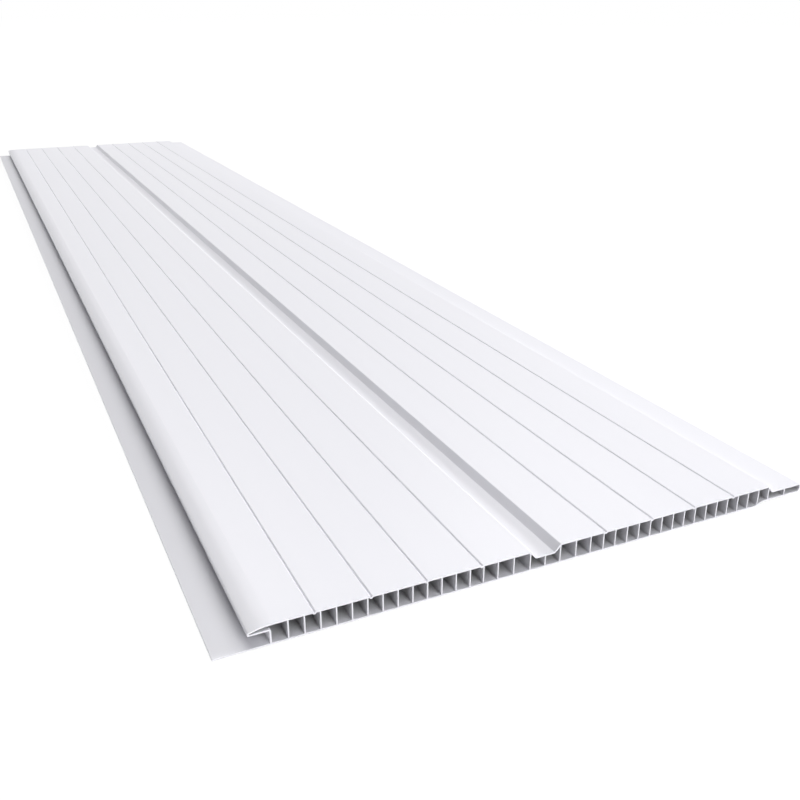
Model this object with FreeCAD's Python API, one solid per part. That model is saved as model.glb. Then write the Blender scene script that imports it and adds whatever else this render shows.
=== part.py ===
# Hollow PVC ceiling panel: one extrusion, sawn to length, lying face up.
# X runs across the panel, Y along it and Z up. All lengths are in millimetres.
# The origin is on the underside, in the middle of the panel's whole width and length.
import FreeCAD
import Part
import math
import os

# The panel as a whole
panel_length = 1000.0
module_width = 200.0  # from one panel's slot wall to the next one's, once they are joined
panel_thickness = 7.0
skin_thickness = 0.5
web_thickness = 0.4

# Sloped groove along the middle of the face
groove_top_width = 11.2
groove_floor_width = 6.6
groove_depth = 2.5
groove_edge_radius = 0.3

# Fine V-lines in the face, at these distances on both sides of the groove's centre
v_line_offsets = (23.1, 41.9, 59.8, 77.2)
v_line_width = 0.9
v_line_depth = 0.45

# Cells: a few wider ones next to the groove, counted outwards, then even ones, and one by the slot
wide_cell_widths = (6.0, 5.7, 5.1, 4.7)
cell_pitch = 4.8
slot_cell_width = 5.2

# Slot edge: a curved nose over a slot, and the flange that is screwed to the battens
nose_to_joint_line = 3.2
nose_slope_run = 3.9
nose_drop = 1.2
nose_curve_radius = 22.0
nose_tip_radius = 0.5
slot_depth = 6.3
slot_height = 4.2
flange_width = 16.5
flange_thickness = 0.5

# Tongue edge: a sloped shoulder, then a hollow tongue raised off the back
shoulder_to_joint_line = 6.1
shoulder_run = 2.0
shoulder_radius = 0.5
tongue_height = 3.3
tongue_top_clearance = 0.1  # under the next panel's lip
tongue_top_radius = 0.8
tongue_bottom_radius = 1.2
back_step_start = 5.4  # from the shoulder's top edge, inwards
back_step_run = 3.0
back_step_radius = 3.0
outer_corner_radius = 0.15

# Places across the panel, with the groove's centre at 0
nose_tip_x = -module_width / 2 + nose_to_joint_line
slot_wall_x = nose_tip_x + slot_depth
flange_tip_x = slot_wall_x - flange_width
shoulder_x = module_width / 2 - shoulder_to_joint_line
tongue_tip_x = slot_wall_x + module_width
groove_edge_x = groove_top_width / 2
nose_slope = math.atan2(nose_drop, nose_slope_run)
flat_start_x = nose_tip_x + nose_slope_run + nose_curve_radius * math.tan(nose_slope / 2)

# Heights above the back
lip_underside_z = flange_thickness + slot_height
tongue_top_z = lip_underside_z - tongue_top_clearance
tongue_underside_z = tongue_top_z - tongue_height

# Straight stretches shorter than this are left out between two roundings
shortest_edge = 0.000001


# Wire through the corners (x, z, radius), in order, each rounded by its own radius.
# Where two roundings would meet on a short side, both give way in the same proportion.
def rounded_wire(corners):
    count = len(corners)
    places = [FreeCAD.Vector(x, 0, z) for x, z, radius in corners]
    sides = [places[(i + 1) % count] - places[i] for i in range(count)]
    turns = [sides[i - 1].getAngle(sides[i]) for i in range(count)]
    reaches = [corners[i][2] * math.tan(turns[i] / 2) for i in range(count)]
    shares = []
    for i in range(count):
        needed = reaches[i] + reaches[(i + 1) % count]
        shares.append(min(1.0, sides[i].Length / needed) if needed > 0 else 1.0)
    starts = []
    ends = []
    edges = []
    for i in range(count):
        reach = reaches[i] * min(shares[i - 1], shares[i])
        into = FreeCAD.Vector(sides[i - 1]).normalize()
        out = FreeCAD.Vector(sides[i]).normalize()
        starts.append(places[i] - into * reach)
        ends.append(places[i] + out * reach)
        if reach > 0:
            radius = reach / math.tan(turns[i] / 2)
            towards_centre = (out - into).normalize()
            gap = radius / math.cos(turns[i] / 2) - radius
            edges.append(Part.Arc(starts[i], places[i] + towards_centre * gap, ends[i]).toShape())
    for i in range(count):
        start = ends[i]
        end = starts[(i + 1) % count]
        if (end - start).Length > shortest_edge:
            edges.append(Part.LineSegment(start, end).toShape())
    return Part.Wire(Part.sortEdges(edges)[0])


def rectangle(left, right, bottom, top):
    corners = [(left, bottom, 0), (right, bottom, 0), (right, top, 0), (left, top, 0)]
    return Part.Face(rounded_wire(corners))


# Places of the V-lines that fall on the flat of the face
def v_line_places():
    places = []
    for offset in v_line_offsets:
        if groove_edge_x + v_line_width < offset < -flat_start_x - v_line_width:
            places.append(-offset)
        if groove_edge_x + v_line_width < offset < shoulder_x - v_line_width:
            places.append(offset)
    return sorted(places)


# Corners of the face from the shoulder back to the nose, with the V-lines and the groove
def face_corners():
    groove_floor_z = panel_thickness - groove_depth
    groove = [
        (groove_edge_x, panel_thickness, groove_edge_radius),
        (groove_floor_width / 2, groove_floor_z, groove_edge_radius),
        (-groove_floor_width / 2, groove_floor_z, groove_edge_radius),
        (-groove_edge_x, panel_thickness, groove_edge_radius),
    ]
    right = []
    left = []
    for x in reversed(v_line_places()):
        side = right if x > 0 else left
        side.append((x + v_line_width / 2, panel_thickness, 0))
        side.append((x, panel_thickness - v_line_depth, 0))
        side.append((x - v_line_width / 2, panel_thickness, 0))
    return right + groove + left


# Corners of the hollow body from the foot of the back step, over the face, to the top of the slot wall
def body_corners():
    step_foot_x = shoulder_x - back_step_start
    tongue_edge = [
        (step_foot_x, 0, back_step_radius),
        (step_foot_x + back_step_run, tongue_underside_z, back_step_radius),
        (tongue_tip_x, tongue_underside_z, tongue_bottom_radius),
        (tongue_tip_x, tongue_top_z, tongue_top_radius),
        (shoulder_x + shoulder_run, tongue_top_z, shoulder_radius),
        (shoulder_x, panel_thickness, shoulder_radius),
    ]
    slot_edge = [
        (nose_tip_x + nose_slope_run, panel_thickness, nose_curve_radius),
        (nose_tip_x, panel_thickness - nose_drop, nose_tip_radius),
        (nose_tip_x, lip_underside_z, outer_corner_radius),
        (slot_wall_x, lip_underside_z, outer_corner_radius),
    ]
    return tongue_edge + face_corners() + slot_edge


# Centres of the webs, from the slot edge to the tongue
def web_places():
    wide = [groove_edge_x]
    for width in wide_cell_widths:
        wide.append(wide[-1] + width)
    first_even = wide[-1]
    last_left = -slot_wall_x - skin_thickness / 2 - slot_cell_width
    left_count = max(1, round((last_left - first_even) / cell_pitch))
    right_count = max(1, round((shoulder_x - first_even) / cell_pitch))
    left_pitch = (last_left - first_even) / left_count
    right_pitch = (shoulder_x - first_even) / right_count
    places = [0.0] + wide + [-x for x in wide]
    places += [-(first_even + left_pitch * i) for i in range(1, left_count + 1)]
    places += [first_even + right_pitch * i for i in range(1, right_count + 1)]
    places.append((shoulder_x + tongue_tip_x) / 2)
    return sorted(places)


# Whole section: the outside with the flange, less the cells that the webs leave in the hollow
def section():
    flange = [
        (slot_wall_x, flange_thickness, outer_corner_radius),
        (flange_tip_x, flange_thickness, outer_corner_radius),
        (flange_tip_x, 0, outer_corner_radius),
    ]
    slot_wall_foot = [(slot_wall_x, 0, 0)]
    outside = Part.Face(rounded_wire(flange + body_corners()))
    hollow = Part.Face(rounded_wire(slot_wall_foot + body_corners())).makeOffset2D(-skin_thickness)
    webs = []
    for x in web_places():
        left = x - web_thickness / 2
        webs.append(rectangle(left, left + web_thickness, 0, panel_thickness))
    return outside.cut(hollow.cut(webs))


def ceiling_panel():
    middle_x = (flange_tip_x + tongue_tip_x) / 2
    panel = section().extrude(FreeCAD.Vector(0, panel_length, 0))
    panel.translate(FreeCAD.Vector(-middle_x, -panel_length / 2, 0))
    return panel.Solids[0]


os.makedirs("parts", exist_ok=True)
panel = ceiling_panel()
panel.exportStep("parts/ceiling_panel.step")
box = panel.BoundBox
print("ceiling_panel valid", panel.isValid(), "solids", len(panel.Solids), "faces", len(panel.Faces))
print("size", round(box.XLength, 3), round(box.YLength, 3), round(box.ZLength, 3))
print("starts at", round(box.XMin, 3), round(box.YMin, 3), round(box.ZMin, 3))
print("volume", round(panel.Volume, 1))
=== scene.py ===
import bpy
import math
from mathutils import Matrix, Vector

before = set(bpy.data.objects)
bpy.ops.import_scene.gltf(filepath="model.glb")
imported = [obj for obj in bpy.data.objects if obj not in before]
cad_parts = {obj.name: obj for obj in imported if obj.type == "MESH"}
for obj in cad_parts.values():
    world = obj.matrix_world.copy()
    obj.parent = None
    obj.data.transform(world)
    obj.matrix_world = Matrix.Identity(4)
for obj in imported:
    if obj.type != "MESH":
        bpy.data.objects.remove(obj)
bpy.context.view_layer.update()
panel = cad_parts["ceiling_panel"]

# The camera, worked out from the panel's own lines in the photo
view = {
    "place": (-0.14572, -0.70032, 0.16276),
    "tilt": 66.571,      # degrees from straight down
    "heading": -25.091,  # degrees from +Y, to the right
    "focal": 906.7,      # in pixels of the photo
    "photoWidth": 800,   # in pixels too
    "sensor": 36.0,
    "reach": 100,        # how far it sees, which takes in the whole floor
}


def makeCamera(v):
    camera = bpy.data.cameras.new("camera")
    camera.sensor_width = v["sensor"]
    camera.lens = v["focal"] / v["photoWidth"] * v["sensor"]
    camera.clip_end = v["reach"]
    seat = bpy.data.objects.new("camera", camera)
    seat.location = v["place"]
    seat.rotation_euler = (math.radians(v["tilt"]), 0, math.radians(v["heading"]))
    bpy.context.scene.collection.objects.link(seat)
    bpy.context.scene.camera = seat
    print("camera made")


# Small helpers for nodes. A socket given as an input is linked, and any other value is set.
# Where a Mix node mixes colours, its inputs 6 and 7 and its output 2 are the ones for them

def addNode(tree, kind, inputs=None, **settings):
    node = tree.nodes.new(kind)
    for key, value in settings.items():
        setattr(node, key, value)
    for key, value in (inputs or {}).items():
        if isinstance(value, bpy.types.NodeSocket):
            tree.links.new(value, node.inputs[key])
        else:
            node.inputs[key].default_value = value
    return node


def emptyMaterial(name):
    material = bpy.data.materials.new(name)
    material.use_nodes = True
    material.node_tree.nodes.clear()
    return material, material.node_tree


# 1 where something is seen straight on, mirrored or through glass, and 0 where it only lights
def seenByEye(tree):
    rays = addNode(tree, "ShaderNodeLightPath")
    direct = addNode(tree, "ShaderNodeMath",
                     {0: rays.outputs["Is Camera Ray"], 1: rays.outputs["Is Glossy Ray"]},
                     operation="MAXIMUM")
    seen = addNode(tree, "ShaderNodeMath",
                   {0: direct.outputs[0], 1: rays.outputs["Is Transmission Ray"]},
                   operation="MAXIMUM")
    return seen.outputs[0]


# White rigid PVC as it leaves the die: satin on the outer faces, rough on the sawn ends, and with
# painted shade in the cells, a darker grey colour where the walls close round a spot
pvc = {
    "light": (0.887, 0.884, 0.934, 1),
    "shade": (0.861, 0.858, 0.908, 1),
    # painted shade: the grey colour given to the closed-in cells
    "paintedCellShade": (0.45, 0.45, 0.455, 1),
    "cellReach": 0.008,        # how far round a spot the walls count for the painted shade
    "cellSamples": 8,
    "paintedShadeAt": (0.15, 0.32),  # openness at which the painted shade ends and the satin colour starts
    "roughness": (0.36, 0.44),
    "ior": 1.53,
    "cloudScale": 20.0,
    "cloudDetail": 3.0,
    "cloudAlong": 0.12,        # scale along the length, where 1 is as across
    "cloudSpan": (0.3, 0.7),   # part of the clouds that the roughness runs over
    "dieLineScale": 1400.0,
    "dieLineDetail": 2.0,
    "dieLineAlong": 0.002,
    "dieLineDepth": 0.000003,
    "endFrom": 0.9,            # how squarely a surface faces lengthwise to be a sawn end
    "sawScale": 3000.0,
    "sawUp": 0.1,              # scale from bottom to top, along the tooth marks
    "sawLean": 25,             # degrees
    "sawDepth": 0.00002,
    "sawRoughness": 0.25,      # more than on the face
}


def whitePvc(p):
    material, tree = emptyMaterial("whitePvc")
    place = addNode(tree, "ShaderNodeTexCoord").outputs["Object"]
    # clouds in shade and gloss, drawn out along the length
    drawnOut = addNode(tree, "ShaderNodeMapping",
                       {"Vector": place, "Scale": (1, p["cloudAlong"], 1)})
    clouds = addNode(tree, "ShaderNodeTexNoise",
                     {"Vector": drawnOut.outputs[0], "Scale": p["cloudScale"],
                      "Detail": p["cloudDetail"]})
    satin = addNode(tree, "ShaderNodeMix",
                    {"Factor": clouds.outputs[0], 6: p["light"], 7: p["shade"]},
                    data_type="RGBA")
    gloss = addNode(tree, "ShaderNodeMapRange",
                    {"Value": clouds.outputs[0],
                     "From Min": p["cloudSpan"][0], "From Max": p["cloudSpan"][1],
                     "To Min": p["roughness"][0], "To Max": p["roughness"][1]})
    # painted shade: the cells, closed in on all sides but the sawn mouth, are darkened by their
    # occlusion
    openness = addNode(tree, "ShaderNodeAmbientOcclusion", {"Distance": p["cellReach"]},
                       only_local=True, samples=p["cellSamples"])
    unshadedPart = addNode(tree, "ShaderNodeMapRange",
                      {"Value": openness.outputs["AO"],
                       "From Min": p["paintedShadeAt"][0], "From Max": p["paintedShadeAt"][1]})
    # painted shade mixed into the colour where the cells close round a spot
    colour = addNode(tree, "ShaderNodeMix",
                     {"Factor": unshadedPart.outputs[0], 6: p["paintedCellShade"], 7: satin.outputs[2]},
                     data_type="RGBA")
    # fine lines from the die, the whole length of the panel
    alongDie = addNode(tree, "ShaderNodeMapping",
                       {"Vector": place, "Scale": (1, p["dieLineAlong"], 1)})
    dieLines = addNode(tree, "ShaderNodeTexNoise",
                       {"Vector": alongDie.outputs[0], "Scale": p["dieLineScale"],
                        "Detail": p["dieLineDetail"]})
    lined = addNode(tree, "ShaderNodeBump",
                    {"Height": dieLines.outputs[0], "Distance": p["dieLineDepth"]})
    # tooth marks of the saw, only on the two ends
    facing = addNode(tree, "ShaderNodeNewGeometry").outputs["True Normal"]
    along = addNode(tree, "ShaderNodeSeparateXYZ", {"Vector": facing}).outputs["Y"]
    lengthwise = addNode(tree, "ShaderNodeMath", {0: along}, operation="ABSOLUTE").outputs[0]
    sawn = addNode(tree, "ShaderNodeMath", {0: lengthwise, 1: p["endFrom"]},
                   operation="GREATER_THAN").outputs[0]
    acrossSaw = addNode(tree, "ShaderNodeMapping",
                        {"Vector": place, "Scale": (1, 1, p["sawUp"]),
                         "Rotation": (0, math.radians(p["sawLean"]), 0)})
    teeth = addNode(tree, "ShaderNodeTexNoise",
                    {"Vector": acrossSaw.outputs[0], "Scale": p["sawScale"]})
    marked = addNode(tree, "ShaderNodeBump",
                     {"Height": teeth.outputs[0], "Distance": p["sawDepth"],
                      "Strength": sawn, "Normal": lined.outputs[0]})
    rough = addNode(tree, "ShaderNodeMath",
                    {0: sawn, 1: p["sawRoughness"], 2: gloss.outputs[0]},
                    operation="MULTIPLY_ADD")
    shader = addNode(tree, "ShaderNodeBsdfPrincipled",
                     {"Base Color": colour.outputs[2], "Roughness": rough.outputs[0],
                      "IOR": p["ior"], "Normal": marked.outputs[0]})
    addNode(tree, "ShaderNodeOutputMaterial", {"Surface": shader.outputs[0]})
    return material


panel.material_slots[0].material = whitePvc(pvc)
print("panel finished in white PVC")


# Pale floor. To the eye it is near white round the panel, with its shadow, and white further off
floorLook = {
    "size": 30.0,
    "drop": 0.0001,                 # below the panel's back
    "bounce": (0.8, 0.8, 0.8, 1),   # its colour for the light that it throws on the panel
    "seen": (0.25, 0.25, 0.25, 1),  # its colour to the eye, which takes the shadow
    "glow": 0.84,                   # what is added to that round the panel
    "fade": (0.75, 1.3),            # distances from the middle between which it turns white
}
white = (1, 1, 1, 1)


def makeFloor(f):
    bpy.ops.mesh.primitive_plane_add(size=f["size"], location=(0, 0, -f["drop"]))
    floor = bpy.context.object
    floor.name = "floor"
    material, tree = emptyMaterial("paleFloor")
    place = addNode(tree, "ShaderNodeTexCoord").outputs["Object"]
    away = addNode(tree, "ShaderNodeVectorMath", {0: place}, operation="LENGTH")
    glow = addNode(tree, "ShaderNodeMapRange",
                   {"Value": away.outputs["Value"],
                    "From Min": f["fade"][0], "From Max": f["fade"][1],
                    "To Min": f["glow"], "To Max": 1.0},
                   interpolation_type="SMOOTHSTEP")
    bounce = addNode(tree, "ShaderNodeBsdfDiffuse", {"Color": f["bounce"]})
    shadowed = addNode(tree, "ShaderNodeBsdfDiffuse", {"Color": f["seen"]})
    light = addNode(tree, "ShaderNodeEmission", {"Color": white, "Strength": glow.outputs[0]})
    seen = addNode(tree, "ShaderNodeAddShader", {0: shadowed.outputs[0], 1: light.outputs[0]})
    surface = addNode(tree, "ShaderNodeMixShader",
                      {0: seenByEye(tree), 1: bounce.outputs[0], 2: seen.outputs[0]})
    addNode(tree, "ShaderNodeOutputMaterial", {"Surface": surface.outputs[0]})
    floor.data.materials.append(material)
    print("floor laid")


# The world is white where it is seen or mirrored, and sheds no light of its own otherwise
def makeWorld():
    world = bpy.data.worlds.new("whiteSurround")
    bpy.context.scene.world = world
    world.use_nodes = True
    tree = world.node_tree
    tree.nodes.clear()
    backdrop = addNode(tree, "ShaderNodeBackground", {"Color": white, "Strength": seenByEye(tree)})
    addNode(tree, "ShaderNodeOutputWorld", {"Surface": backdrop.outputs[0]})
    print("world made")


# Softboxes round the panel: around is in degrees from +X towards +Y, up is above the floor.
# The low ones aren't mirrored in the face, which would burn out where they graze it
nearHalf = (0, -0.2, 0)
lamps = {
    "rightLow": {"aim": nearHalf, "around": -5, "up": 15, "away": 5, "size": 1.6,
                 "power": 254, "mirrored": False},
    "backRight": {"aim": nearHalf, "around": 45, "up": 45, "away": 5, "size": 2.2,
                  "power": 57, "mirrored": True},
    "back": {"aim": nearHalf, "around": 90, "up": 50, "away": 5, "size": 2.2,
             "power": 71, "mirrored": True},
    "top": {"aim": nearHalf, "around": -135, "up": 70, "away": 5, "size": 1.6,
            "power": 18.5, "mirrored": True},
    "front": {"aim": (-0.03, -0.45, 0), "around": -77, "up": 40, "away": 1.2, "size": 0.5,
              "power": 3.7, "mirrored": True},
    "frontLow": {"aim": nearHalf, "around": -85, "up": 10, "away": 2, "size": 0.8,
                 "power": 15.7, "mirrored": False},
    "leftLow": {"aim": nearHalf, "around": 178, "up": 4, "away": 2, "size": 0.25,
                "power": 4.5, "mirrored": False},
}


def makeLamp(name, lamp):
    light = bpy.data.lights.new(name, "AREA")
    light.size = lamp["size"]
    light.energy = lamp["power"]
    seat = bpy.data.objects.new(name, light)
    around = math.radians(lamp["around"])
    up = math.radians(lamp["up"])
    out = Vector((math.cos(up) * math.cos(around), math.cos(up) * math.sin(around), math.sin(up)))
    seat.location = Vector(lamp["aim"]) + out * lamp["away"]
    seat.rotation_euler = out.to_track_quat("Z", "Y").to_euler()
    seat.visible_glossy = lamp["mirrored"]
    bpy.context.scene.collection.objects.link(seat)


makeCamera(view)
makeFloor(floorLook)
makeWorld()
for name, lamp in lamps.items():
    makeLamp(name, lamp)
bpy.context.scene.view_settings.view_transform = "Standard"
print("stage lit")
